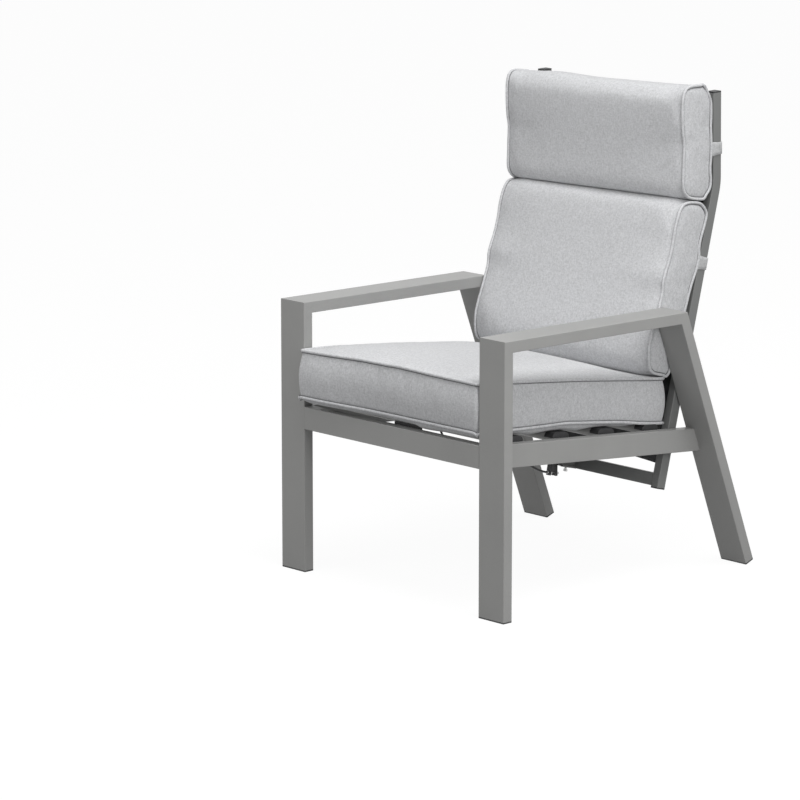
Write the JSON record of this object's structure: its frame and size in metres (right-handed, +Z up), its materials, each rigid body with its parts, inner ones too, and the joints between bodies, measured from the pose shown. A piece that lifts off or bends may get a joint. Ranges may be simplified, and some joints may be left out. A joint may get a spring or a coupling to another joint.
{
  "type": "reclining garden armchair",
  "caption": "Reclining garden armchair with flat-tube arms, sloping slatted seat, bent high back on hinges, gas spring lock and loose box cushions.",
  "frame": {"origin": "on the floor under the middle of the chair's width and depth", "axes": "+X to the sitter's left, -Y to the front, +Z up"},
  "size_m": [0.692, 0.7934, 1.0621],
  "materials": {
    "frame_coat": "satin powder coat",
    "back_coat": "satin powder coat",
    "black_plastic": "matte",
    "cushion_fabric": "fine heather weave",
    "band_fabric": "woven elastic",
    "sling_mesh": "coated mesh",
    "zinc_steel": "zinc plated",
    "rod_chrome": "polished",
    "bracket_coat": "satin powder coat",
    "black_steel": "satin",
    "black_metal": "satin",
    "cable_sheath": "matte",
    "grip_rubber": "matte"
  },
  "bodies": {
    "seat_frame": {"armrest_left": "frame_coat", "armrest_right": "frame_coat", "front_ferrule": "zinc_steel", "front_foot_left": "black_plastic", "front_foot_right": "black_plastic", "front_leg_left": "frame_coat", "front_leg_right": "frame_coat", "front_rail": "frame_coat", "front_spring_bolt": "zinc_steel", "front_spring_bracket": "bracket_coat", "handle_bracket": "bracket_coat", "handle_pin": "zinc_steel", "hinge_bolts": "zinc_steel", "hinge_rivet_nuts": "zinc_steel", "hinge_spacers": "zinc_steel", "rear_foot_left": "black_plastic", "rear_foot_right": "black_plastic", "rear_leg_left": "frame_coat", "rear_leg_right": "frame_coat", "release_cable": "cable_sheath", "seat_cushion": "cushion_fabric", "seat_slat_1": "frame_coat", "seat_slat_2": "frame_coat", "seat_slat_3": "frame_coat", "seat_slat_4": "frame_coat", "seat_slat_plugs": "black_plastic", "side_rail_left": "frame_coat", "side_rail_right": "frame_coat"},
    "back_frame": {"upright_left": "back_coat", "upright_right": "back_coat", "upright_lower_caps": "black_plastic", "upright_top_caps": "black_plastic", "lower_crossbar": "back_coat", "head_rail": "back_coat", "sling": "sling_mesh", "sling_rods": "black_plastic", "hinge_bushes": "black_plastic", "back_cushion": "cushion_fabric", "head_cushion": "cushion_fabric", "back_cushion_band": "band_fabric", "head_cushion_band": "band_fabric", "rear_spring_bracket": "bracket_coat", "tab_screw": "zinc_steel"},
    "spring_cylinder": {"spring_cylinder": "black_steel", "cylinder_gland": "black_steel", "cable_clip": "black_plastic", "cable_tail": "cable_sheath"},
    "spring_rod": {"spring_rod": "rod_chrome", "spring_piston": "rod_chrome", "release_head": "black_metal", "rear_spring_bolt": "zinc_steel", "lever_pin": "zinc_steel", "rear_ferrule": "zinc_steel"},
    "release_lever": {"release_lever": "black_steel", "rear_wire": "zinc_steel"},
    "release_pin": {"release_pin": "zinc_steel"},
    "release_handle": {"release_handle": "black_metal", "handle_grip": "grip_rubber", "front_wire": "zinc_steel"}
  },
  "joints": [
    {"name": "back_recline", "type": "hinge", "parent": "seat_frame", "child": "back_frame", "pos_m": [0, 0.2103, 0.29547], "axis": [-1, 0, 0], "range_deg": [0, 35]},
    {"name": "spring_swing", "type": "hinge", "parent": "seat_frame", "child": "spring_cylinder", "pos_m": [0, -0.3017, 0.3165], "axis": [1, 0, 0], "range_deg": [0, 6.04], "deforming": ["release_cable"]},
    {"name": "spring_slide", "type": "slide", "parent": "spring_cylinder", "child": "spring_rod", "axis": [0, -0.98, 0.1988], "range_m": [0, 0.03527], "deforming": ["cable_tail"]},
    {"name": "release_handle", "type": "hinge", "parent": "seat_frame", "child": "release_handle", "pos_m": [-0.3035, -0.1447, 0.372], "axis": [-1, 0, 0], "range_deg": [0, 20], "stiffness_Nm_per_rad": 0.6, "springref_deg": -11.46, "deforming": ["front_wire"]},
    {"name": "release_lever", "type": "hinge", "parent": "spring_rod", "child": "release_lever", "pos_m": [0, 0.12073, 0.24815], "axis": [-1, 0, 0], "range_deg": [0, 7.59], "deforming": ["rear_wire"]},
    {"name": "release_pin", "type": "slide", "parent": "spring_rod", "child": "release_pin", "axis": [0, -0.98, 0.1988], "range_m": [0, 0.00225]}
  ],
  "couplings": [
    {"joint": "spring_swing", "follows": "back_recline", "ratio": 0.17127},
    {"joint": "spring_slide", "follows": "back_recline", "m_per_rad": 0.057409},
    {"joint": "release_lever", "follows": "release_handle", "ratio": 0.37689},
    {"joint": "release_pin", "follows": "release_handle", "m_per_rad": 0.006315}
  ]
}
